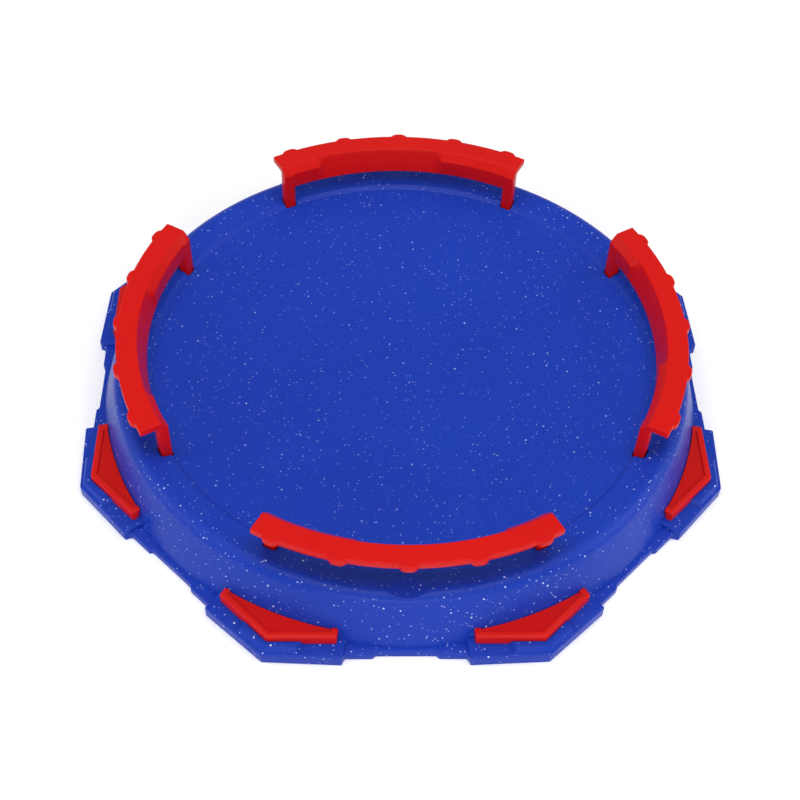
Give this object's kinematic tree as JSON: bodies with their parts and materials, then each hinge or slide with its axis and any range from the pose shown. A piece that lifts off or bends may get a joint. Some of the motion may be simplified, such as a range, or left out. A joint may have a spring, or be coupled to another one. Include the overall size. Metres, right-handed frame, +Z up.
{
  "type": "spinning top arena",
  "caption": "Shallow round plastic arena for battling spinning tops, on an octagonal skirt with corner caps and lift-out arc guard rails.",
  "frame": {"origin": "on the table, under the centre of the bowl", "axes": "+Z up out of the bowl, +Y towards the rear guard rail, +X towards the right guard rail"},
  "size_m": [0.3176, 0.3176, 0.0546],
  "materials": {
    "glitter_blue": "moulded, satin gloss, with silver-white glitter flakes",
    "cap_red": "moulded, semi-gloss",
    "rail_red": "moulded, glossy"
  },
  "bodies": {
    "arena": {"arena_bowl": "glitter_blue", "corner_cap_right_rear": "cap_red", "corner_cap_rear_right": "cap_red", "corner_cap_rear_left": "cap_red", "corner_cap_left_rear": "cap_red", "corner_cap_left_front": "cap_red", "corner_cap_front_left": "cap_red", "corner_cap_front_right": "cap_red", "corner_cap_right_front": "cap_red"},
    "rail_right": {"guard_rail_right": "rail_red"},
    "rail_rear": {"guard_rail_rear": "rail_red"},
    "rail_left": {"guard_rail_left": "rail_red"},
    "rail_front": {"guard_rail_front": "rail_red"}
  },
  "joints": [
    {"name": "rail_right_lift", "type": "slide", "parent": "arena", "child": "rail_right", "axis": [0, 0, 1], "range_m": [0, 0.026]},
    {"name": "rail_rear_lift", "type": "slide", "parent": "arena", "child": "rail_rear", "axis": [0, 0, 1], "range_m": [0, 0.026]},
    {"name": "rail_left_lift", "type": "slide", "parent": "arena", "child": "rail_left", "axis": [0, 0, 1], "range_m": [0, 0.026]},
    {"name": "rail_front_lift", "type": "slide", "parent": "arena", "child": "rail_front", "axis": [0, 0, 1], "range_m": [0, 0.026]}
  ]
}
